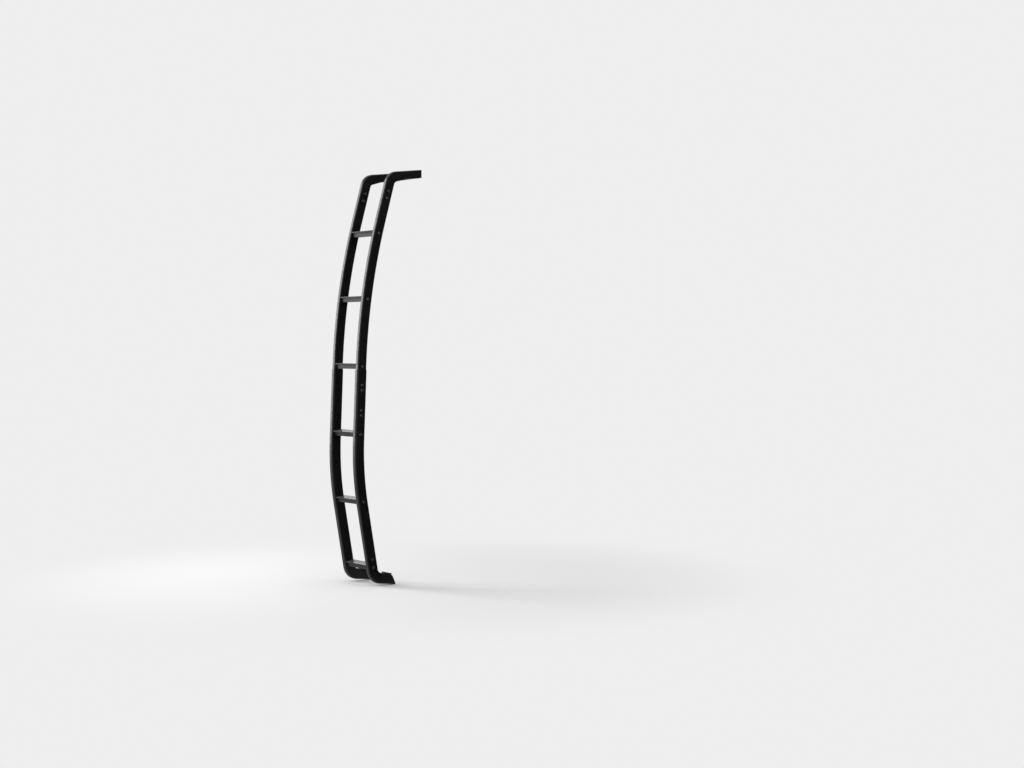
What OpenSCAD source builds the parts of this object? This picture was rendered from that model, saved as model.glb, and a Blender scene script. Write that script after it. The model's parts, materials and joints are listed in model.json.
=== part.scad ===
// Hanging side ladder, in millimetres at real size.
//
// X runs across the ladder (positive to its rear side), Y runs inboard, towards what it hangs on,
// and Z is up. The origin is the middle of the flat inboard face of the rail plate, where the ladder
// is bolted on. Two bent stiles hang from it, and each stands off at its lower end on a padded foot.
// A stile follows one centre line, from its lower end upwards: a straight run, the waist bend, a
// straight run with the lap in it, the long shoulder bend and a straight run under the elbow. The
// lower stile is the wider tube, and the upper one slides into it as far as the lap is long.

/* [Ladder] */
// Height from the plate's middle down to the lower end of the stiles
ladder_drop = 1988; // [1950:1:2060]
// Distance between the centre lines of the two stiles
stile_pitch = 215; // [190:1:320]
// Height of the lowest rung above the lower end of the stiles, along the stile
foot_margin = 19; // [18:0.5:30]
// Distance of the top rung below the upper end of the stiles, along the stile
head_margin = 232; // [180:1:280]

/* [Stile tubes] */
// Depth of the upper tube, outboard to inboard
stile_depth = 51; // [44:0.5:60]
// Width of the upper tube
stile_width = 25; // [22:0.5:32]
// Wall of the upper tube
stile_wall = 3; // [2:0.1:4]
// Radius of the upper tube's long outer edges
stile_corner = 6; // [4.5:0.1:8]
// Wall of the lower tube
lower_wall = 2; // [1.5:0.1:3]

/* [Stile centre line] */
// Lean of the lower run, its top outboard of its foot, in degrees
foot_lean = 9.8; // [8:0.1:11.5]
// Length of the straight lower run
lower_run = 332; // [300:1:370]
// Radius of the waist bend
waist_radius = 1530; // [1400:10:1650]
// Turn of the waist bend in degrees
waist_turn = 12.4; // [11.5:0.1:13.5]
// Radius of the shoulder bend
shoulder_radius = 3135; // [3000:5:3300]
// Turn of the shoulder bend in degrees
shoulder_turn = 13.3; // [12.5:0.1:14]
// Length of the straight run under the elbow
upper_run = 172; // [150:1:200]

/* [Lap of the stiles] */
// Distance from the rung above the lap down to the lower stile's end
lap_under_rung = 4; // [3:0.5:10]
// Length of the upper stile inside the lower one
lap_length = 256; // [245:1:290]
// Distance from the lower stile's end to the first bolt
splice_bolt_down = 77; // [60:1:90]
// Distance between the two bolts of a pair
splice_bolt_step = 25; // [20:1:30]
// Distance between the two pairs of bolts
splice_pair_step = 125; // [100:1:130]

/* [Rungs] */
// Depth of the tread, outboard to inboard
tread_depth = 46; // [38:0.5:48]
// Thickness of the tread
tread_thick = 6; // [5:0.1:8]
// Depth of the hollow body under the tread
rung_body_depth = 27; // [24:0.5:34]
// Height of the hollow body under the tread
rung_body_height = 21; // [18:0.5:24]
// Wall of the hollow body
rung_wall = 2.4; // [1.8:0.1:3]
// Outer diameter of the screw boss inside the body
boss_d = 14; // [12.5:0.1:15]
// Distance between the grip grooves on the tread
groove_pitch = 4; // [3:0.1:6]
// Width of a grip groove
groove_width = 1.6; // [1:0.1:2]
// Depth of a grip groove
groove_depth = 1.2; // [0.6:0.1:1.8]

/* [Top brackets] */
// Distance from the rail face to the centre of the stile's upper end
arm_reach = 197; // [185:1:230]
// Drop from the middle of the rail plate to the centre of the stile's upper end
arm_drop = 83; // [78:0.5:88]
// Depth of the arm at the plate
arm_depth = 42; // [34:0.5:48]
// Rise of the arm towards the plate in degrees
arm_rise = 6.2; // [4:0.1:8]
// Radius of the elbow at the middle of the section
elbow_radius = 46; // [42:1:50]
// Length over which the arm narrows beyond the elbow
arm_taper = 52; // [40:1:60]
// Length of the spigot inside the stile
spigot_length = 78; // [72:1:95]
// Distance from the stile's upper end to the first bracket bolt
head_bolt_near = 15; // [12:0.5:20]
// Distance between the two bolts of a top bracket
head_bolt_step = 37; // [30:0.5:42]

/* [Rail plate] */
// Thickness of the plate
plate_thick = 6; // [4:0.5:10]
// Height of the plate
plate_height = 40; // [38:1:60]
// Distance between the plate's two bolt holes
plate_bolt_pitch = 120; // [80:1:150]
// Diameter of the bolt holes
plate_hole_d = 9; // [6:0.1:11]

/* [Feet] */
// Radius of the foot's bend at the middle of the section
foot_bend_radius = 50; // [44:1:60]
// Fall of the foot's arm inboard in degrees
foot_fall = 6.1; // [3:0.1:9]
// Length of the foot's arm beyond the bend, along its lower side
foot_arm = 91; // [85:1:110]
// Depth of the foot's arm at its end
foot_end_depth = 43; // [36:0.5:48]
// Slant of the foot's end in degrees
foot_end_slant = 30; // [0:1:32]
// Length of the foot's pad
pad_length = 42; // [30:1:46]
// Thickness of the foot's pad
pad_thick = 7; // [4:0.5:10]
// Distance from the pad to each side of the foot
pad_margin = 1.5; // [0.5:0.1:4]
// Distance from the pad to the end of the foot
pad_inset = 5; // [3:0.5:8]
// Diameter of the bolt hole through the foot and its pad
foot_hole_d = 9; // [6:0.1:11]
// Distance between the lowest rung's bolt and the foot's own bolt
foot_bolt_step = 38; // [30:0.5:45]

/* [Bolts] */
// Diameter of the bolts' shanks
bolt_d = 8; // [6:0.5:8]
// Diameter of the bolts' heads
head_d = 15; // [13:0.5:18]
// Height of the bolts' heads
head_h = 4.4; // [3:0.1:6]
// Width across the flats of a nut
nut_flats = 13; // [10:0.5:15]
// Height of a nut
nut_h = 6.5; // [5:0.1:8]
// Diameter of a washer
washer_d = 16; // [14:0.5:20]
// Thickness of a washer
washer_t = 1.6; // [1:0.1:2.5]
// Length of a rung bolt's shank inside the rung
rung_grip = 22; // [12:1:40]
// Gap on each side between a piece and what it slides into
fit = 0.3; // [0.2:0.05:0.5]

/* [Hidden] */
$fn = 48;
rung_count = 6;
upper_rungs = 3;
stile_x = stile_pitch / 2;
hole_d = bolt_d + 2 * fit;
cut = 1;
bend_steps = 14;
corner_steps = 5;

// The up and inboard directions of the centre line as [y, z], for a lean in degrees
function up(lean) = [-sin(lean), cos(lean)];
function inboard(lean) = [cos(lean), sin(lean)];
function arc_length(radius, turn) = radius * turn * PI / 180;

// Lean of the centre line on each straight run
mid_lean = foot_lean - waist_turn;
head_lean = mid_lean - shoulder_turn;
arm_lean = arm_rise - 90;

// The straight run between the bends is as long as the ladder's height leaves room for
bends_drop = shoulder_radius * (sin(mid_lean) - sin(head_lean))
    + waist_radius * (sin(foot_lean) - sin(mid_lean));
runs_drop = upper_run * cos(head_lean) + lower_run * cos(foot_lean);
mid_run = (ladder_drop - arm_drop - bends_drop - runs_drop) / cos(mid_lean);

// Places along the centre line where its pieces meet, from the lower end
s_waist = lower_run;
s_mid = s_waist + arc_length(waist_radius, waist_turn);
s_shoulder = s_mid + mid_run;
s_upper = s_shoulder + arc_length(shoulder_radius, shoulder_turn);
s_top = s_upper + upper_run;

// Corners of the centre line, counted down from the upper end, as [y, z]
p_top = [-arm_reach, -arm_drop];
p_upper = p_top - upper_run * up(head_lean);
p_shoulder = p_upper + shoulder_radius * (inboard(head_lean) - inboard(mid_lean));
p_mid = p_shoulder - mid_run * up(mid_lean);
p_waist = p_mid + waist_radius * (inboard(mid_lean) - inboard(foot_lean));
p_foot = p_waist - lower_run * up(foot_lean);

// Point and lean of the centre line at a distance s from its lower end, as [y, z, lean]
function on_run(p, lean, s) = concat(p + s * up(lean), [lean]);
function on_bend(p, lean, radius, s) =
    let (turn = s / radius * 180 / PI)
    concat(p + radius * (inboard(lean) - inboard(lean - turn)), [lean - turn]);
function station(s) =
    s <= s_waist ? on_run(p_foot, foot_lean, s) :
    s <= s_mid ? on_bend(p_waist, foot_lean, waist_radius, s - s_waist) :
    s <= s_shoulder ? on_run(p_mid, mid_lean, s - s_mid) :
    s <= s_upper ? on_bend(p_shoulder, mid_lean, shoulder_radius, s - s_shoulder) :
    on_run(p_upper, head_lean, s - s_upper);

// Distances at which rings stand on a piece of the centre line with one bend in it
function ring_places(from, bend_from, bend_to, to) = concat([from],
    [for (k = [0:bend_steps]) bend_from + k * (bend_to - bend_from) / bend_steps], [to]);

// Rounded rectangle as a list of points, depth along the first axis and width along the second
function rounded_ring(depth, width, radius) =
    [for (q = [0:3], k = [0:corner_steps])
        let (sx = q == 0 || q == 3 ? 1 : -1, sy = q < 2 ? 1 : -1, a = 90 * (q + k / corner_steps))
        [sx * (depth / 2 - radius) + radius * cos(a), sy * (width / 2 - radius) + radius * sin(a)]];

// The same points in space, square to the centre line at a station
function ring_at(st, points) =
    [for (p = points) concat(-p[1], [st[0], st[1]] + p[0] * inboard(st[2]))];

// Points moved along a direction of lean until they reach the plane at y
function slid_to(y, lean, points) =
    [for (p = points) [p[0], y, p[2] + (y - p[1]) * up(lean)[1] / up(lean)[0]]];

// A section is its [depth, width, radius of its corners]
upper_section = [stile_depth, stile_width, stile_corner];
function grown(section, by) = section + by * [2, 2, 1];
upper_bore = grown(upper_section, -stile_wall);
lower_bore = grown(upper_section, fit);
lower_section = grown(lower_bore, lower_wall);
function section_ring(st, section) = ring_at(st, rounded_ring(section[0], section[1], section[2]));

// Rungs share the length between the two margins, counted from the top
rung_pitch = (s_top - foot_margin - head_margin) / (rung_count - 1);
function rung_s(i) = s_top - head_margin - (i - 1) * rung_pitch;
rung_height = tread_thick + rung_body_height;
body_mid = (rung_body_height - rung_height) / 2;

// The upper treads are level, and the lower ones are square to the lower run
function tread_tilt(i) = i > upper_rungs ? foot_lean : 0;

// Width of the stile that a rung is bolted to
function rung_stile_width(i) = i > upper_rungs ? lower_section[1] : stile_width;

// The lower stile ends under the last of the upper rungs
s_lap_top = rung_s(upper_rungs) - rung_height / 2 - lap_under_rung;
s_lap_low = s_lap_top - lap_length;

// Places of the bolts along the centre line
head_bolts = [s_top - head_bolt_near, s_top - head_bolt_near - head_bolt_step];
splice_bolts = [for (pair = [0, splice_pair_step], d = [0, splice_bolt_step])
    s_lap_top - splice_bolt_down - pair - d];
foot_bolt = foot_margin + foot_bolt_step;

// The foot's bend ends where its arm starts
foot_turn = 90 - foot_lean - foot_fall;

// The arm keeps its upper side straight and narrows from below
elbow_turn = head_lean - arm_lean;
arm_narrowing = (stile_depth - arm_depth) / 2;

// The neck under the elbow is as long as it takes for the arm to meet the middle of the plate
elbow_step = elbow_radius * (inboard(head_lean) - inboard(arm_lean)) - arm_narrowing * inboard(arm_lean);
arm_miss = p_top + elbow_step;
neck = (arm_miss[0] * tan(arm_rise) - arm_miss[1]) /
    (up(head_lean)[1] - up(head_lean)[0] * tan(arm_rise));
p_elbow = p_top + neck * up(head_lean);

// Where the foot's bend starts, its arm behind it
foot_arm_lean = foot_lean + foot_turn;
p_foot_arm = p_foot + foot_bend_radius * (inboard(foot_lean) - inboard(foot_arm_lean));
foot_depth = lower_section[0];
foot_narrowing = (foot_depth - foot_end_depth) / 2;

// Puts the rear side's pieces on the rear (1) or, mirrored, on the front (-1)
module on_side(side) {
    mirror([side < 0 ? 1 : 0, 0, 0]) translate([stile_x, 0, 0]) children();
}

// Frame on the centre line: Z along the stile, Y inboard
module at_station(st) {
    translate([0, st[0], st[1]]) rotate([st[2], 0, 0]) children();
}

// Closed solid through rings of as many points each, in order along the centre line
module loft(rings) {
    n = len(rings[0]);
    last = len(rings) - 1;
    sides = [for (i = [0:last - 1], j = [0:n - 1])
        let (a = i * n, k = (j + 1) % n) [a + j, a + n + j, a + n + k, a + k]];
    ends = [[for (j = [0:n - 1]) j], [for (j = [n - 1:-1:0]) last * n + j]];
    polyhedron(points = [for (r = rings) each r], faces = concat(sides, ends));
}

// Tube between two sets of rings, open at both ends
module tube(outer, inner) {
    n = len(outer[0]);
    last = len(outer) - 1;
    hole = n * (last + 1);
    skin = [for (i = [0:last - 1], j = [0:n - 1])
        let (a = i * n, k = (j + 1) % n) [a + j, a + n + j, a + n + k, a + k]];
    lining = [for (f = skin) [for (v = [3:-1:0]) f[v] + hole]];
    rims = [for (j = [0:n - 1]) let (k = (j + 1) % n, a = last * n)
        each [[j, k, hole + k, hole + j], [hole + a + j, hole + a + k, a + k, a + j]]];
    polyhedron(points = [for (r = concat(outer, inner)) each r], faces = concat(skin, lining, rims));
}

// Round hole or rod along X at a place [y, z]
module across(place, diameter, from, to) {
    translate([from, place[0], place[1]]) rotate([0, 90, 0]) cylinder(d = diameter, h = to - from);
}

function rung_bolt_place(i) =
    let (st = station(rung_s(i)))
    [st[0], st[1]] + body_mid * up(tread_tilt(i));

// Bolt holes right through a stile or what is inside it
module through_holes(places) {
    for (p = places) {
        across(p, hole_d, -stile_width, stile_width);
    }
}

// Bolt holes through a stile's outer wall alone
module outer_holes(places) {
    for (p = places) {
        across(p, hole_d, 0, stile_width);
    }
}

// Tube of a section and its bore along places on the centre line
module stile_tube(places, section, bore) {
    stations = [for (s = places) station(s)];
    tube([for (st = stations) section_ring(st, section)], [for (st = stations) section_ring(st, bore)]);
}

module stile_lower(side) {
    color([0.08, 0.08, 0.09]) on_side(side) difference() {
        stile_tube(ring_places(0, s_waist, s_mid, s_lap_top), lower_section, lower_bore);
        through_holes([for (i = [upper_rungs + 1:rung_count]) rung_bolt_place(i)]);
        outer_holes([for (s = splice_bolts) station(s)]);
        outer_holes([station(foot_bolt)]);
    }
}

module stile_upper(side) {
    color([0.08, 0.08, 0.09]) on_side(side) difference() {
        stile_tube(ring_places(s_lap_low, s_shoulder, s_upper, s_top), upper_section, upper_bore);
        through_holes([for (i = [1:upper_rungs]) rung_bolt_place(i)]);
        outer_holes([for (s = splice_bolts) station(s)]);
        through_holes([for (s = head_bolts) station(s)]);
    }
}

// Hollow tread section of a rung, outboard to the left
module rung_section() {
    tread_low = rung_height / 2 - tread_thick;
    grooves = floor((tread_depth / 2 - groove_pitch) / groove_pitch);
    difference() {
        union() {
            translate([-tread_depth / 2, tread_low]) square([tread_depth, tread_thick]);
            translate([-rung_body_depth / 2, -rung_height / 2])
                square([rung_body_depth, rung_body_height + cut]);
        }
        difference() {
            translate([rung_wall - rung_body_depth / 2, rung_wall - rung_height / 2])
                square([rung_body_depth - 2 * rung_wall, rung_body_height - rung_wall]);
            translate([0, body_mid]) circle(d = boss_d);
            translate([-rung_wall / 2, body_mid]) square([rung_wall, rung_body_height]);
            translate([-rung_wall / 2, body_mid - rung_body_height])
                square([rung_wall, rung_body_height]);
        }
        translate([0, body_mid]) circle(d = hole_d);
        for (k = [-grooves:grooves]) {
            translate([k * groove_pitch - groove_width / 2, rung_height / 2 - groove_depth])
                square([groove_width, groove_depth + cut]);
        }
    }
}

module rung(i) {
    st = station(rung_s(i));
    length = stile_pitch - rung_stile_width(i);
    color([0.2, 0.2, 0.21]) translate([-length / 2, st[0], st[1]]) rotate([tread_tilt(i), 0, 0])
        rotate([90, 0, 90]) linear_extrude(height = length) rung_section();
}

module top_bracket(side) {
    elbow = [for (k = [0:bend_steps])
        on_bend(p_elbow, head_lean, elbow_radius, arc_length(elbow_radius, k * elbow_turn / bend_steps))];
    narrowed_section = [arm_depth, stile_width, stile_corner];
    narrowed = section_ring(on_run(p_elbow + elbow_step, arm_lean, arm_taper), narrowed_section);
    spigot = grown(upper_bore, -fit);
    color([0.08, 0.08, 0.09]) on_side(side) difference() {
        union() {
            loft([section_ring(station(s_top - spigot_length), spigot),
                section_ring(on_run(p_top, head_lean, cut), spigot)]);
            loft(concat([section_ring(station(s_top), upper_section)],
                [for (st = elbow) section_ring(st, upper_section)],
                [narrowed, slid_to(-plate_thick, arm_lean, narrowed)]));
        }
        through_holes([for (s = head_bolts) station(s)]);
    }
}

module rail_plate() {
    long = stile_pitch + stile_width;
    color([0.08, 0.08, 0.09]) difference() {
        translate([-long / 2, -plate_thick, -plate_height / 2]) cube([long, plate_thick, plate_height]);
        for (side = [-1, 1]) {
            translate([side * plate_bolt_pitch / 2, cut, 0]) rotate([90, 0, 0])
                cylinder(d = plate_hole_d, h = plate_thick + 2 * cut);
        }
    }
}

// Frame where the foot's bend starts, Z along the arm outboard and Y up
module at_foot_arm() {
    at_station(concat(p_foot_arm, [foot_arm_lean])) children();
}

// Angle of the foot's upper side to its lower side, and the place of the pad's middle along it
pad_tilt = atan((foot_depth - foot_end_depth) / foot_arm);
pad_mid = foot_arm - foot_end_depth * tan(foot_end_slant) - pad_inset - pad_length / 2;

// Frame on the foot's upper side, at the pad's middle: Z up from the foot
module at_pad() {
    at_foot_arm() translate([0, foot_depth / 2, 0]) rotate([-pad_tilt, 0, 0])
        translate([0, 0, -pad_mid]) rotate([-90, 0, 0]) children();
}

module foot_hole() {
    at_pad() cylinder(d = foot_hole_d, h = 4 * foot_depth, center = true);
}

module foot_bracket(side) {
    bend = [for (k = [0:bend_steps])
        on_bend(p_foot_arm, foot_arm_lean, foot_bend_radius,
            arc_length(foot_bend_radius, k * foot_turn / bend_steps))];
    arm_end = on_run(p_foot_arm - foot_narrowing * inboard(foot_arm_lean), foot_arm_lean, -foot_arm);
    foot_end_section = [foot_end_depth, lower_section[1], lower_section[2]];
    spigot = grown(lower_bore, -fit);
    color([0.08, 0.08, 0.09]) on_side(side) difference() {
        union() {
            loft([section_ring(on_run(p_foot, foot_lean, -cut), spigot),
                section_ring(station(spigot_length), spigot)]);
            loft(concat([section_ring(arm_end, foot_end_section)],
                [for (st = bend) section_ring(st, lower_section)]));
        }
        at_foot_arm() translate([0, -foot_depth / 2, -foot_arm]) rotate([foot_end_slant, 0, 0])
            translate([0, 0, -foot_depth]) cube(2 * foot_depth, center = true);
        foot_hole();
        through_holes([rung_bolt_place(rung_count), station(foot_bolt)]);
    }
}

module foot_pad(side) {
    color([0.05, 0.05, 0.05]) on_side(side) difference() {
        at_pad() translate([0, 0, pad_thick / 2])
            cube([lower_section[1] - 2 * pad_margin, pad_length, pad_thick], center = true);
        foot_hole();
    }
}

// Button head with a shank, along -X from the outer face of a stile of a width
module bolt(place, width, shank) {
    dome_r = (head_d * head_d / 4 + head_h * head_h) / (2 * head_h);
    translate([width / 2, place[0], place[1]]) rotate([0, 90, 0]) difference() {
        union() {
            intersection() {
                translate([0, 0, head_h - dome_r]) sphere(r = dome_r);
                cylinder(d = head_d, h = head_h + cut);
            }
            translate([0, 0, -shank]) cylinder(d = bolt_d, h = shank + head_h / 2);
        }
        translate([0, 0, head_h / 2]) cylinder(d = bolt_d * 0.6, h = head_h, $fn = 6);
    }
}

module rung_bolts(side) {
    color([0.45, 0.46, 0.47]) on_side(side) for (i = [1:rung_count]) {
        bolt(rung_bolt_place(i), rung_stile_width(i), rung_stile_width(i) + rung_grip);
    }
}

// The lap's bolts end short of the upper tube's far wall
module splice_bolt_set(side) {
    shank = (lower_section[1] + stile_width) / 2 - stile_wall - fit;
    color([0.45, 0.46, 0.47]) on_side(side) for (s = splice_bolts) {
        bolt(station(s), lower_section[1], shank);
    }
}

module bracket_bolts(side) {
    color([0.45, 0.46, 0.47]) on_side(side) for (s = head_bolts) {
        bolt(station(s), stile_width, stile_width + washer_t + nut_h + 2 * fit);
    }
}

module bracket_nuts(side) {
    nut_d = nut_flats / cos(30);
    color([0.45, 0.46, 0.47]) on_side(side) for (s = head_bolts) {
        st = station(s);
        translate([-stile_width / 2, st[0], st[1]]) rotate([0, -90, 0]) difference() {
            union() {
                cylinder(d = washer_d, h = washer_t);
                cylinder(d = nut_d, h = washer_t + nut_h, $fn = 6);
            }
            translate([0, 0, -cut]) cylinder(d = hole_d, h = washer_t + nut_h + 2 * cut);
        }
    }
}

module foot_bolts(side) {
    color([0.45, 0.46, 0.47]) on_side(side)
        bolt(station(foot_bolt), lower_section[1], stile_width);
}

stile_upper(-1);  // stile_upper_front
stile_upper(1);  // stile_upper_rear
stile_lower(-1);  // stile_lower_front
stile_lower(1);  // stile_lower_rear
rung(1);  // rung_1
rung(2);  // rung_2
rung(3);  // rung_3
rung(4);  // rung_4
rung(5);  // rung_5
rung(6);  // rung_6
top_bracket(-1);  // top_bracket_front
top_bracket(1);  // top_bracket_rear
rail_plate();
foot_bracket(-1);  // foot_bracket_front
foot_bracket(1);  // foot_bracket_rear
foot_pad(-1);  // foot_pad_front
foot_pad(1);  // foot_pad_rear
rung_bolts(-1);  // rung_bolts_front
rung_bolts(1);  // rung_bolts_rear
splice_bolt_set(-1);  // splice_bolts_front
splice_bolt_set(1);  // splice_bolts_rear
bracket_bolts(-1);  // bracket_bolts_front
bracket_bolts(1);  // bracket_bolts_rear
bracket_nuts(-1);  // bracket_nuts_front
bracket_nuts(1);  // bracket_nuts_rear
foot_bolts(-1);  // foot_bolt_front
foot_bolts(1);  // foot_bolt_rear
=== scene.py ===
"""Looks of the hanging side ladder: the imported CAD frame, dressed, lit and seen as photographed."""
import json
import math

import bmesh
import bpy
from mathutils import Matrix, Vector


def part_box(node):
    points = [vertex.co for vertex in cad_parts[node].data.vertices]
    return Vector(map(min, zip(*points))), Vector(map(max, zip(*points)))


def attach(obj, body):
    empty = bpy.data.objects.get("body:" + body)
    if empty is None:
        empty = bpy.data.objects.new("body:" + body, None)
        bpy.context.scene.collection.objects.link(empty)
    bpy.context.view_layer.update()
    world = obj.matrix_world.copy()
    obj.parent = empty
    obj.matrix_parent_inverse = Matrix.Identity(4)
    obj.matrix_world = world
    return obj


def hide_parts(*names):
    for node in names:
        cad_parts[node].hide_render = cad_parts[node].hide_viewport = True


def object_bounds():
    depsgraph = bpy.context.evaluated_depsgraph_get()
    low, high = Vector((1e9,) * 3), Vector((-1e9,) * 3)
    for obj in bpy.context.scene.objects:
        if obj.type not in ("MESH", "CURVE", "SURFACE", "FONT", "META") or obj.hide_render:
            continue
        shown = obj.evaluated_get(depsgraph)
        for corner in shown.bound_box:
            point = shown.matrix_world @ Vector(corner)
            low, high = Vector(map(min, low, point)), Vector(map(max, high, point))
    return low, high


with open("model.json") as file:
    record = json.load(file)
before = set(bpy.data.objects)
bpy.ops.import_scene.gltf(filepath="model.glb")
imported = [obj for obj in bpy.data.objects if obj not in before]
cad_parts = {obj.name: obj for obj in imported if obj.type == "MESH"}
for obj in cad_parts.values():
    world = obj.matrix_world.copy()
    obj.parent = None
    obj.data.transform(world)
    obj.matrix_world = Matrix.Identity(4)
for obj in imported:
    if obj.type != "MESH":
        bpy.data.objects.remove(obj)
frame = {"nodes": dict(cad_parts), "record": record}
cad_box = [list(corner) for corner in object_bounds()]
MM = 0.001
SIDES = ("front", "rear")
RUNGS = 6

# Camera, solved from the photograph
FOCAL_PX = 1692.095
IMAGE_WIDTH_PX = 1024
SENSOR_MM = 36.0
CAMERA_AT = Vector((7.14727, -4.95300, -0.83675))
YAW, PITCH, ROLL = (math.radians(angle) for angle in (38.21183, -1.51542, -0.13018))
NEAREST, FARTHEST = 0.1, 200.0


def make_camera():
    """Camera at the photograph's place, looking the way it looks."""
    forward = Vector((
        -math.cos(PITCH) * math.cos(YAW),
        math.cos(PITCH) * math.sin(YAW),
        math.sin(PITCH),
    ))
    level = Vector((math.sin(YAW), math.cos(YAW), 0.0))
    upright = level.cross(forward)
    right = math.cos(ROLL) * level + math.sin(ROLL) * upright
    top = -math.sin(ROLL) * level + math.cos(ROLL) * upright
    data = bpy.data.cameras.new("camera")
    data.sensor_fit = "HORIZONTAL"
    data.sensor_width = SENSOR_MM
    data.lens = FOCAL_PX / IMAGE_WIDTH_PX * SENSOR_MM
    data.clip_start, data.clip_end = NEAREST, FARTHEST
    camera = bpy.data.objects.new("camera", data)
    bpy.context.scene.collection.objects.link(camera)
    axes = Matrix((right, top, -forward)).transposed().to_4x4()
    camera.matrix_world = Matrix.Translation(CAMERA_AT) @ axes
    bpy.context.scene.camera = camera


# Grey levels of the finishes: a pair goes from the darkest to the lightest patches
COAT_GREYS, COAT_RUBBED_GREY, COAT_DUST_GREY = (0.0032, 0.0062), 0.030, 0.045
# The treads' top grey is partly polished metal and partly a painted sheen on their up faces
TREAD_GREYS, TREAD_EDGE_GREY, TREAD_TOP_POLISH_AND_SHEEN_GREY, TREAD_SCUFF_GREY = (0.020, 0.034), 0.16, 0.46, 0.66
STEEL_GREYS, STEEL_BARE_GREY = (0.060, 0.100), 0.34
RUBBER_GREYS, RUBBER_EDGE_GREY = (0.018, 0.032), 0.055

# Roughness of the finishes, from their glossiest to their dullest patches
COAT_ROUGHNESS = (0.31, 0.42)
TREAD_ROUGHNESS = (0.52, 0.64)
STEEL_ROUGHNESS = (0.30, 0.46)
RUBBER_ROUGHNESS = (0.72, 0.9)


class Nodes:
    """Short names for making and joining the nodes of one material."""

    def __init__(self, name):
        self.material = bpy.data.materials.new(name)
        self.material.use_nodes = True
        self.tree = self.material.node_tree
        self.tree.nodes.clear()
        self.out = self.tree.nodes.new("ShaderNodeOutputMaterial")

    def feed(self, socket, value):
        """Joins value to the socket where it is an output, and otherwise sets it there."""
        if isinstance(value, bpy.types.NodeSocket):
            self.tree.links.new(value, socket)
        else:
            socket.default_value = value

    def add(self, kind, inputs=None, **settings):
        node = self.tree.nodes.new("ShaderNode" + kind)
        for key, value in settings.items():
            setattr(node, key, value)
        for key, value in (inputs or {}).items():
            self.feed(node.inputs[key], value)
        return node

    def place(self, scale=(1.0, 1.0, 1.0)):
        """The point in the object's own frame, in metres, stretched by scale."""
        point = self.add("TexCoord").outputs["Object"]
        return self.add("Mapping", {"Vector": point, "Scale": scale}).outputs["Vector"]

    def noise(self, scale, detail, stretch=(1.0, 1.0, 1.0), rough=0.5):
        """Noise with about scale patches a metre."""
        return self.add("TexNoise", {
            "Vector": self.place(stretch),
            "Scale": scale,
            "Detail": detail,
            "Roughness": rough,
        }).outputs["Fac"]

    def span(self, value, low, high, from_low=0.3, from_high=0.7):
        """Value, which runs from from_low to from_high, put between low and high."""
        return self.add("MapRange", {
            "Value": value,
            "From Min": from_low,
            "From Max": from_high,
            "To Min": low,
            "To Max": high,
        }).outputs["Result"]

    def blend(self, share, first, second):
        """First where share is 0, second where it is 1."""
        node = self.add("Mix", data_type="RGBA")
        # A colour mix has its share in socket 0 and its two colours in sockets 6 and 7
        for socket, value in ((0, share), (6, first), (7, second)):
            self.feed(node.inputs[socket], value)
        return node.outputs[2]

    def patches(self, scale, detail, greys, warmth=0.0):
        """Colour that wanders between two greys."""
        cloud = self.span(self.noise(scale, detail), 0.0, 1.0)
        return self.blend(cloud, grey(greys[0], warmth), grey(greys[1], warmth))

    def math(self, operation, first, second):
        node = self.add("Math", operation=operation)
        self.feed(node.inputs[0], first)
        self.feed(node.inputs[1], second)
        return node.outputs[0]

    def times(self, first, second):
        return self.math("MULTIPLY", first, second)

    def shift(self, value, mask, by):
        """Value, changed by as much as by says where mask is 1."""
        return self.math("ADD", value, self.times(mask, by))

    def cover(self, colour, mask, strength, level, warmth=0.0):
        """Colour, turned towards a grey level as far as mask and strength say."""
        return self.blend(self.times(mask, strength), colour, grey(level, warmth))

    def bump(self, height, distance, strength, under=None):
        inputs = {"Height": height, "Distance": distance, "Strength": strength}
        if under is not None:
            inputs["Normal"] = under
        return self.add("Bump", inputs).outputs["Normal"]

    def finish(self, shader):
        self.tree.links.new(shader.outputs[0], self.out.inputs["Surface"])
        return self.material


def grey(level, warmth=0.0):
    """Grey of a level, a little redder than blue where warmth is above 0."""
    return (level * (1 + warmth), level, level * (1 - warmth), 1.0)


def edge_mask(n, radius, low=0.02, high=0.25):
    """0 on flat faces, up to 1 where the surface turns within radius."""
    soft = n.add("Bevel", {"Radius": radius}, samples=6).outputs["Normal"]
    plain = n.add("NewGeometry").outputs["Normal"]
    along = n.add("VectorMath", {0: soft, 1: plain}, operation="DOT_PRODUCT").outputs["Value"]
    return n.span(n.math("SUBTRACT", 1.0, along), 0.0, 1.0, low, high)


def upward(n, low=0.55, high=0.95):
    """1 where the surface faces up, 0 on upright and lower faces."""
    normal = n.add("NewGeometry").outputs["Normal"]
    height = n.add("SeparateXYZ", {"Vector": normal}).outputs["Z"]
    return n.span(height, 0.0, 1.0, low, high)


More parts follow.
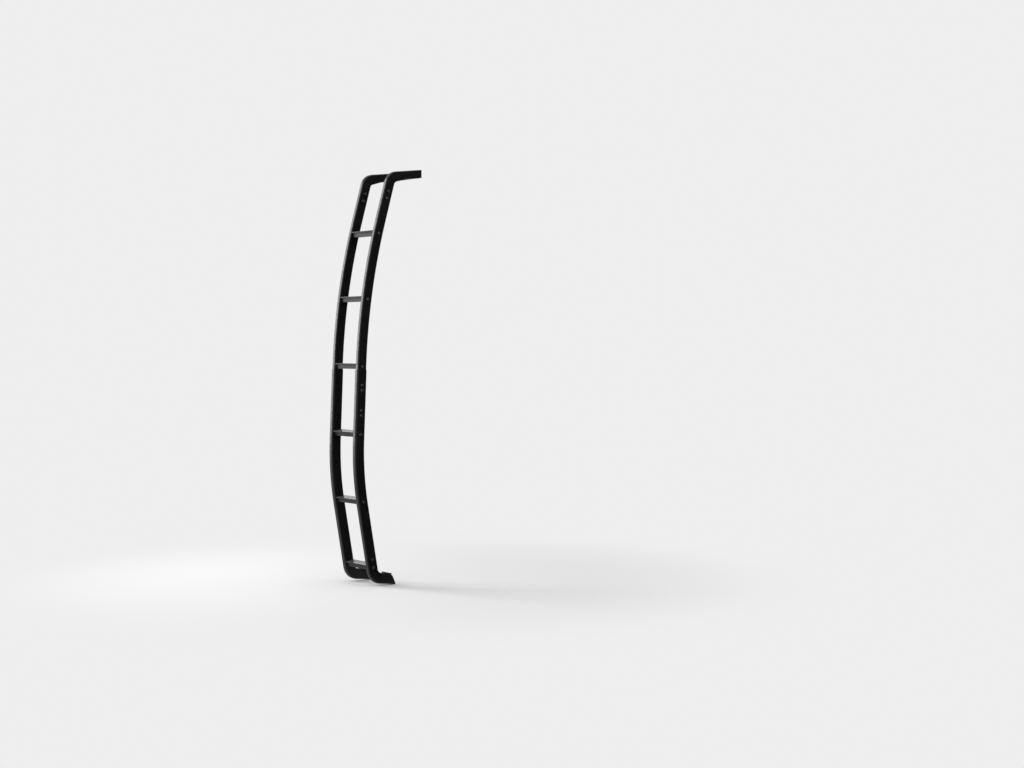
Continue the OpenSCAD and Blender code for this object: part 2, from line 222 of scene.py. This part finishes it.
def powder_coat():
    """Satin black powder coat: orange peel, an uneven sheen, rubbed edges and dust on top."""
    n = Nodes("powder_coat")
    peel = n.noise(scale=900.0, detail=2.0)
    waves = n.noise(scale=160.0, detail=2.0)
    wear = n.span(n.noise(scale=55.0, detail=5.0), 0.0, 1.0, from_low=0.42, from_high=0.62)
    rubbed = n.times(edge_mask(n, radius=1.2 * MM), wear)
    dust = n.times(upward(n), n.span(n.noise(scale=70.0, detail=6.0), low=0.15, high=0.8))
    coat = n.patches(scale=9.0, detail=4.0, greys=COAT_GREYS, warmth=-0.06)
    coat = n.cover(coat, rubbed, strength=0.7, level=COAT_RUBBED_GREY, warmth=0.02)
    coat = n.cover(coat, dust, strength=0.35, level=COAT_DUST_GREY, warmth=0.06)
    rough = n.span(n.noise(scale=45.0, detail=5.0), *COAT_ROUGHNESS)
    rough = n.shift(rough, rubbed, by=-0.08)
    rough = n.shift(rough, dust, by=0.12)
    wavy = n.bump(waves, distance=0.1 * MM, strength=0.3)
    return n.finish(n.add("BsdfPrincipled", {
        "Base Color": coat,
        "Roughness": rough,
        "Specular IOR Level": 0.30,
        "Normal": n.bump(peel, distance=0.05 * MM, strength=0.45, under=wavy),
    }))


def tread_aluminium():
    """Dark anodised extrusion: die lines along the rung, scuffed treads, and tops polished and
    lightened by a painted sheen.
    """
    n = Nodes("tread_aluminium")
    top = upward(n)
    die = n.noise(scale=700.0, detail=3.0, stretch=(0.012, 1.0, 1.0))
    scuff = n.noise(scale=38.0, detail=6.0, stretch=(0.6, 1.6, 1.0), rough=0.65)
    scuff = n.times(top, n.span(scuff, 0.0, 1.0, from_low=0.46, from_high=0.70))
    wear = n.span(n.noise(scale=80.0, detail=4.0), low=0.1, high=0.9)
    edge = n.times(edge_mask(n, radius=0.8 * MM), wear)
    colour = n.patches(scale=30.0, detail=4.0, greys=TREAD_GREYS, warmth=0.02)
    colour = n.cover(colour, edge, strength=0.5, level=TREAD_EDGE_GREY, warmth=0.01)
    # Up faces turn a lighter grey all over: polished metal, partly a painted sheen
    colour = n.cover(colour, top, strength=0.7, level=TREAD_TOP_POLISH_AND_SHEEN_GREY, warmth=0.01)
    colour = n.cover(colour, scuff, strength=0.6, level=TREAD_SCUFF_GREY, warmth=0.02)
    rough = n.shift(n.span(die, *TREAD_ROUGHNESS), top, by=-0.42)
    rough = n.shift(rough, scuff, by=0.05)
    return n.finish(n.add("BsdfPrincipled", {
        "Base Color": colour,
        "Metallic": n.shift(0.2, top, by=0.6),
        "Roughness": rough,
        "Specular IOR Level": 0.2,
        "Coat Weight": n.times(top, 0.9),
        "Coat Roughness": 0.18,
        "Coat IOR": 1.8,
        "Normal": n.bump(die, distance=0.08 * MM, strength=0.5),
    }))


def bolt_steel():
    """Blackened steel: turned faces, with bare metal coming through on the edges."""
    n = Nodes("bolt_steel")
    grain = n.noise(scale=1500.0, detail=2.0)
    wear = n.span(n.noise(scale=260.0, detail=4.0), low=0.2, high=1.0)
    bare = n.times(edge_mask(n, radius=0.5 * MM), wear)
    colour = n.patches(scale=120.0, detail=3.0, greys=STEEL_GREYS)
    colour = n.cover(colour, bare, strength=0.8, level=STEEL_BARE_GREY, warmth=0.02)
    return n.finish(n.add("BsdfPrincipled", {
        "Base Color": colour,
        "Metallic": 0.8,
        "Roughness": n.span(grain, *STEEL_ROUGHNESS),
        "Specular IOR Level": 0.3,
        "Normal": n.bump(grain, distance=0.03 * MM, strength=0.4),
    }))


def pad_rubber():
    """Matt black rubber with a dusty bloom."""
    n = Nodes("pad_rubber")
    grain = n.noise(scale=1200.0, detail=3.0)
    colour = n.patches(scale=60.0, detail=4.0, greys=RUBBER_GREYS)
    edge = edge_mask(n, radius=1.0 * MM)
    colour = n.cover(colour, edge, strength=0.4, level=RUBBER_EDGE_GREY)
    return n.finish(n.add("BsdfPrincipled", {
        "Base Color": colour,
        "Roughness": n.span(grain, *RUBBER_ROUGHNESS),
        "Specular IOR Level": 0.3,
        "Normal": n.bump(grain, distance=0.12 * MM, strength=0.6),
    }))


MAKERS = (powder_coat, tread_aluminium, bolt_steel, pad_rubber)
MATERIALS = {make.__name__: make() for make in MAKERS}
SLOT_OF = {row["node"]: row["material_slot"] for row in frame["record"]["subparts"]}

# How CAD meshes are cleaned and rounded: distances in metres, angles in degrees
SAME_POINT = 0.002 * MM
FLAT_ANGLE = 0.3
SHARP_ANGLE = 40
SLIVER = 0.001 * MM
SMOOTH_ANGLE, TURNED_SMOOTH_ANGLE = 35, 32
LARGE_FACES_ONLY = 100


def smooth(mesh, angle):
    """Smooth shading, with the edges sharper than angle left sharp."""
    for polygon in mesh.polygons:
        polygon.use_smooth = True
    mesh.set_sharp_from_angle(angle=math.radians(angle))


def finish_piece(piece, node):
    """Gives a piece its node's finish and puts it in the node's place."""
    piece.data.materials.clear()
    piece.data.materials.append(MATERIALS[SLOT_OF[node]])
    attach(piece, "root")
    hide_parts(node)
    return piece


def new_object(name, bm):
    """Object of a name with the mesh that bm holds."""
    mesh = bpy.data.meshes.new(name)
    bm.to_mesh(mesh)
    bm.free()
    made = bpy.data.objects.new(name, mesh)
    bpy.context.scene.collection.objects.link(made)
    return made


def new_piece(name, bm, angle=SMOOTH_ANGLE):
    """Piece shaded by its large flat faces, so that roundings leave no streaks on them."""
    piece = new_object(name, bm)
    smooth(piece.data, angle)
    flat = piece.modifiers.new("flat_faces", "WEIGHTED_NORMAL")
    flat.keep_sharp = True
    flat.weight = LARGE_FACES_ONLY
    return piece


def cad_copy(node):
    """The node's mesh with its corners joined."""
    bm = bmesh.new()
    bm.from_mesh(frame["nodes"][node].data)
    bmesh.ops.remove_doubles(bm, verts=bm.verts, dist=SAME_POINT)
    return bm


def rounded_copy(node, radius, segments):
    """A piece in the node's shape with its sharp edges rounded."""
    bm = cad_copy(node)
    flat = math.radians(FLAT_ANGLE)
    bmesh.ops.dissolve_limit(bm, angle_limit=flat, verts=bm.verts, edges=bm.edges)
    limit = math.radians(SHARP_ANGLE)
    joined = [edge for edge in bm.edges if len(edge.link_faces) == 2]
    bmesh.ops.bevel(
        bm,
        geom=[edge for edge in joined if edge.calc_face_angle(0.0) > limit],
        offset=radius,
        offset_type="OFFSET",
        segments=segments,
        profile=0.5,
        affect="EDGES",
        clamp_overlap=True,
    )
    bmesh.ops.dissolve_degenerate(bm, dist=SLIVER, edges=bm.edges)
    bmesh.ops.recalc_face_normals(bm, faces=bm.faces)
    return finish_piece(new_piece(node + "_dressed", bm), node)


def islands(node):
    """Lowest and highest corner of each separate solid in a node, from the top down."""
    bm = cad_copy(node)
    left, boxes = set(bm.verts), []
    while left:
        queue = [left.pop()]
        found = list(queue)
        while queue:
            vert = queue.pop()
            for edge in vert.link_edges:
                other = edge.other_vert(vert)
                if other in left:
                    left.remove(other)
                    queue.append(other)
                    found.append(other)
        points = [vert.co.copy() for vert in found]
        boxes.append((Vector(map(min, *points)), Vector(map(max, *points))))
    bm.free()
    return sorted(boxes, key=lambda box: -box[0].z)


# Bolts with button heads
SHANK_R = 4.0 * MM
TIP_LENGTH, TIP_INSET, TIP_STEP = 0.9 * MM, 1.0 * MM, 0.1 * MM
THREAD_PITCH, THREAD_DEPTH, THREAD_LENGTH = 1.25 * MM, 0.5 * MM, 14 * MM
PLAIN_LENGTH = 2 * MM
THREAD_START, ROOT_END, CREST = 0.35, 0.2, 0.55
HEAD_R, HEAD_H, HEAD_FLAT_R = 7.5 * MM, 4.1 * MM, 4.1 * MM
SEAT_BREAK, RIM_LOW, RIM_HIGH = 0.35 * MM, 0.3 * MM, 0.7 * MM
CROWN_STEPS = 7
SOCKET_FLATS, SOCKET_DEPTH = 5.0 * MM, 2.5 * MM
SOCKET_LEAD_R, SOCKET_LEAD = HEAD_FLAT_R - 0.5 * MM, 0.3 * MM
SOCKET_CONE, SOCKET_CONE_R = 0.7 * MM, 0.3 * MM

# Nuts with washers
NUT_FLATS, NUT_CHAMFER, NUT_FOOT_INSET = 13.0 * MM, 0.6 * MM, 0.1 * MM
NUT_SHARES = (0.25, 0.6, 1.0)
WASHER_R, WASHER_T, WASHER_INSET, WASHER_BREAK = 8.0 * MM, 1.6 * MM, 0.3 * MM, 0.25 * MM
BORE_R, BORE_LEAD = SHANK_R + 0.15 * MM, 0.5 * MM

# Heads and nuts stand a hair off what they seat on, so that no two faces coincide
SEAT_GAP = 0.02 * MM
BOLT_SEGMENTS, NUT_SEGMENTS = 48, 72
RING_JOIN = 1e-4 * MM


def hexagon(flats, corner=math.inf):
    """Radius at an angle on a hexagon of a width across its flats, cut at a corner radius."""
    def at(turn):
        return min(corner, flats / 2 / math.cos((turn % (math.pi / 3)) - math.pi / 6))
    return at


def skin(bm, rings, place, segments, capped):
    """Skin over rings of (distance along the axis, radius or radius at an angle)."""
    loops = []
    for along, outline in rings:
        loop = []
        for k in range(segments):
            turn = 2 * math.pi * k / segments
            radius = outline(turn) if callable(outline) else outline
            point = Vector((along, radius * math.cos(turn), radius * math.sin(turn)))
            loop.append(bm.verts.new(place @ point))
        loops.append(loop)
    for lower, upper in zip(loops, loops[1:]):
        for k in range(segments):
            j = (k + 1) % segments
            bm.faces.new((lower[k], lower[j], upper[j], upper[k]))
    if capped:
        bm.faces.new(list(reversed(loops[0])))
        bm.faces.new(loops[-1])


def crown(first, last):
    """Rings on a quarter of an ellipse between two points of (along, radius), after the first."""
    rings = []
    for k in range(1, CROWN_STEPS + 1):
        turn = k / CROWN_STEPS * math.pi / 2
        along = first[0] + (last[0] - first[0]) * math.sin(turn)
        radius = last[1] + (first[1] - last[1]) * math.cos(turn)
        rings.append((along, radius))
    return rings


def bolt_rings(tail):
    """Rings of a button-head bolt, its head's seat at 0 and its shank's end at -tail."""
    tip = -tail + TIP_LENGTH
    root = SHANK_R - THREAD_DEPTH
    rings = [(-tail, SHANK_R - TIP_INSET), (tip, SHANK_R - TIP_STEP)]
    for k in range(int(min(tail - PLAIN_LENGTH, THREAD_LENGTH) / THREAD_PITCH)):
        start = tip + (k + THREAD_START) * THREAD_PITCH
        rings += [
            (start, root),
            (start + ROOT_END * THREAD_PITCH, root),
            (start + CREST * THREAD_PITCH, SHANK_R),
        ]
    rings += [
        (SEAT_GAP, SHANK_R),
        (SEAT_GAP, HEAD_R - SEAT_BREAK),
        (RIM_LOW, HEAD_R),
        (RIM_HIGH, HEAD_R),
    ]
    rings += crown((RIM_HIGH, HEAD_R), (HEAD_H, HEAD_FLAT_R))
    rings += [
        (HEAD_H, SOCKET_LEAD_R),
        (HEAD_H - SOCKET_LEAD, hexagon(SOCKET_FLATS)),
        (HEAD_H - SOCKET_DEPTH, hexagon(SOCKET_FLATS)),
        (HEAD_H - SOCKET_DEPTH - SOCKET_CONE, SOCKET_CONE_R),
    ]
    return rings


def nut_rings(top):
    """Rings of a nut on a washer, the washer's seat at 0, whose bore closes the skin."""
    inner = NUT_FLATS / 2
    corner = inner / math.cos(math.pi / 6)
    base = WASHER_T + SEAT_GAP

    def cut(share):
        return hexagon(NUT_FLATS, inner + share * (corner - inner))

    return [
        (0.0, BORE_R),
        (0.0, WASHER_R - WASHER_INSET),
        (WASHER_BREAK, WASHER_R),
        (WASHER_T - WASHER_BREAK, WASHER_R),
        (WASHER_T, WASHER_R - WASHER_INSET),
        (base, inner - NUT_FOOT_INSET),
        *((base + share * NUT_CHAMFER, cut(share)) for share in NUT_SHARES),
        *((top - share * NUT_CHAMFER, cut(share)) for share in reversed(NUT_SHARES)),
        (top, cut(0.0)),
        (top, BORE_R + BORE_LEAD),
        (top - BORE_LEAD, BORE_R),
        (0.0, BORE_R),
    ]


def turned_frame(x, y, z, outward):
    """Frame whose X axis points outward, for a part turned about the object's X."""
    turn = Matrix.Rotation(0.0 if outward > 0 else math.pi, 4, "Z")
    return Matrix.Translation((x, y, z)) @ turn


def set_piece(node, build):
    """One piece for all the bolts or nuts of a node, each made by build."""
    bm = bmesh.new()
    for low_corner, high_corner in islands(node):
        build(bm, low_corner, high_corner)
    bmesh.ops.remove_doubles(bm, verts=bm.verts, dist=RING_JOIN)
    bmesh.ops.recalc_face_normals(bm, faces=bm.faces)
    return finish_piece(new_piece(node + "_turned", bm, TURNED_SMOOTH_ANGLE), node)


def build_bolt(outward, upper_face, lower_face, lap_top):
    """Maker of one bolt whose head seats on the stile's outer face at its height."""
    def build(bm, low_corner, high_corner):
        centre = (low_corner + high_corner) / 2
        seat = outward * (upper_face if centre.z > lap_top else lower_face)
        end = low_corner.x if outward > 0 else high_corner.x
        place = turned_frame(seat, centre.y, centre.z, outward)
        skin(bm, bolt_rings(abs(seat - end)), place, BOLT_SEGMENTS, capped=True)
    return build


def build_nut(outward):
    """Maker of one nut with its washer, standing out from the stile's inner face."""
    def build(bm, low_corner, high_corner):
        centre = (low_corner + high_corner) / 2
        seat = low_corner.x if outward > 0 else high_corner.x
        place = turned_frame(seat, centre.y, centre.z, outward)
        skin(bm, nut_rings(high_corner.x - low_corner.x), place, NUT_SEGMENTS, capped=False)
    return build


# Which nodes are rounded, by what radius and in how many steps
TUBE_ROUNDING = (0.6 * MM, 2)
PAD_ROUNDING = (1.2 * MM, 3)
PLATE_ROUNDING = (1.0 * MM, 3)
RUNG_ROUNDING = (0.45 * MM, 2)
TUBE_NODES = ("stile_upper_", "stile_lower_", "top_bracket_", "foot_bracket_")
BOLT_NODES = ("rung_bolts_", "splice_bolts_", "bracket_bolts_", "foot_bolt_")

make_camera()
upper_top_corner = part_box("stile_upper_rear")[1]
lower_top_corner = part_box("stile_lower_rear")[1]
for side, outward in zip(SIDES, (-1, 1)):
    for node in TUBE_NODES:
        rounded_copy(node + side, *TUBE_ROUNDING)
    rounded_copy("foot_pad_" + side, *PAD_ROUNDING)
    bolt = build_bolt(outward, upper_top_corner[0], lower_top_corner[0], lower_top_corner[2])
    for node in BOLT_NODES:
        set_piece(node + side, bolt)
    set_piece("bracket_nuts_" + side, build_nut(-outward))
rounded_copy("rail_plate", *PLATE_ROUNDING)
for number in range(1, RUNGS + 1):
    rounded_copy(f"rung_{number}", *RUNG_ROUNDING)

# Stage and light: colours as they show, places in metres from the middle of the object
BACKGROUND = (0.86, 0.86, 0.86, 1.0)
FLOOR_COLOUR = (0.77, 0.77, 0.77, 1.0)
FLOOR_RADIUS, FLOOR_SEGMENTS = 60.0, 96
FLOOR_GAP = 0.5 * MM
FADE_START, FADE_END = 0.35, 2.3
WORLD_LEVEL = 0.45
CARD_GREY = 0.01
SOFTBOX = {"offset": (-3.7, -2.6, 1.5), "aim": (0.0, 0.0, 0.3), "size": (2.2, 4.2)}
SOFTBOX_RADIANCE = 8.0
OVERHEAD = {"offset": (0.6, -0.8, 4.2), "aim": (0.0, 0.0, 0.0), "size": (6.0, 6.0)}
OVERHEAD_RADIANCE = 1.2
FLAG = {"offset": (2.9, 2.3, 0.0), "aim": (0.0, 0.0, 0.0), "size": (4.4, 5.0)}

# A second card lies just over the floor, at an x and y of the object's own frame
LOW_FLAG_AT, LOW_FLAG_SIZE, LOW_FLAG_GAP = (1.9, 1.1), (3.4, 4.4), 1.0 * MM


def shown_ray(tree):
    """1 where a camera, glossy or transmission ray looks, 0 for light on the object."""
    path = tree.nodes.new("ShaderNodeLightPath")
    found = path.outputs["Is Camera Ray"]
    for name in ("Is Glossy Ray", "Is Transmission Ray"):
        both = tree.nodes.new("ShaderNodeMath")
        both.operation = "MAXIMUM"
        tree.links.new(found, both.inputs[0])
        tree.links.new(path.outputs[name], both.inputs[1])
        found = both.outputs[0]
    return found


def make_world():
    """Plain white light all round, with the pale background where it is seen."""
    world = bpy.data.worlds.new("studio")
    bpy.context.scene.world = world
    world.use_nodes = True
    tree = world.node_tree
    tree.nodes.clear()
    out = tree.nodes.new("ShaderNodeOutputWorld")
    mix = tree.nodes.new("ShaderNodeMixShader")
    lit, seen = (tree.nodes.new("ShaderNodeBackground") for _ in range(2))
    lit.inputs["Color"].default_value = (1.0, 1.0, 1.0, 1.0)
    lit.inputs["Strength"].default_value = WORLD_LEVEL
    seen.inputs["Color"].default_value = BACKGROUND
    seen.inputs["Strength"].default_value = 1.0
    tree.links.new(shown_ray(tree), mix.inputs[0])
    tree.links.new(lit.outputs[0], mix.inputs[1])
    tree.links.new(seen.outputs[0], mix.inputs[2])
    tree.links.new(mix.outputs[0], out.inputs["Surface"])


def make_floor(height):
    """Pale floor that fades into the background well away from the object."""
    n = Nodes("floor")
    place = n.add("SeparateXYZ", {"Vector": n.place()})
    flat = n.add("CombineXYZ", {"X": place.outputs["X"], "Y": place.outputs["Y"]})
    far = n.add("VectorMath", {"Vector": flat.outputs["Vector"]}, operation="LENGTH")
    fade = n.add("MapRange", {
        "Value": far.outputs["Value"],
        "From Min": FADE_START,
        "From Max": FADE_END,
    }, interpolation_type="SMOOTHERSTEP")
    share = n.times(fade.outputs["Result"], shown_ray(n.tree))
    near = n.add("BsdfDiffuse", {"Color": FLOOR_COLOUR})
    away = n.add("Emission", {"Color": BACKGROUND, "Strength": 1.0})
    mix = n.add("MixShader", {0: share, 1: near.outputs[0], 2: away.outputs[0]})
    bm = bmesh.new()
    bmesh.ops.create_circle(bm, cap_ends=True, segments=FLOOR_SEGMENTS, radius=FLOOR_RADIUS)
    floor = new_object("floor", bm)
    floor.data.materials.append(n.finish(mix))
    floor.location = (0.0, 0.0, height)


def turn_to(thing, at, aim):
    """Puts a thing at a point with its face turned to aim."""
    thing.location = at
    thing.rotation_mode = "QUATERNION"
    thing.rotation_quaternion = (aim - at).to_track_quat("-Z", "Y")


def softbox(name, at, aim, size, radiance):
    """Rectangular lamp at a point, facing aim, that looks as bright as radiance."""
    data = bpy.data.lights.new(name, "AREA")
    data.shape = "RECTANGLE"
    data.size, data.size_y = size
    data.energy = radiance * math.pi * size[0] * size[1]
    lamp = bpy.data.objects.new(name, data)
    turn_to(lamp, at, aim)
    lamp.visible_camera = False
    bpy.context.scene.collection.objects.link(lamp)


def black_card(name, at, aim, size):
    """Dark card that only reflections see, which keeps the side faces deep black."""
    n = Nodes(name)
    bm = bmesh.new()
    x, y = size[0] / 2, size[1] / 2
    corners = ((-x, -y), (x, -y), (x, y), (-x, y))
    bm.faces.new([bm.verts.new((*corner, 0.0)) for corner in corners])
    card = new_object(name, bm)
    card.data.materials.append(n.finish(n.add("BsdfDiffuse", {"Color": grey(CARD_GREY)})))
    turn_to(card, at, aim)
    card.visible_camera = False
    card.visible_diffuse = False
    card.visible_shadow = False


def around(middle, offset, aim, size):
    """A lamp's or card's place, aim and size, given from the middle of the object."""
    return middle + Vector(offset), middle + Vector(aim), size


low, high = (Vector(corner) for corner in cad_box)
middle = (low + high) / 2
make_world()
make_floor(low.z - FLOOR_GAP)
softbox("outboard_front", *around(middle, **SOFTBOX), SOFTBOX_RADIANCE)
black_card("flag", *around(middle, **FLAG))
on_floor = Vector((*LOW_FLAG_AT, low.z + LOW_FLAG_GAP))
black_card("flag_low", on_floor, on_floor - Vector((0, 0, 1)), LOW_FLAG_SIZE)
softbox("above", *around(middle, **OVERHEAD), OVERHEAD_RADIANCE)

view = bpy.context.scene.view_settings
view.view_transform = "Standard"
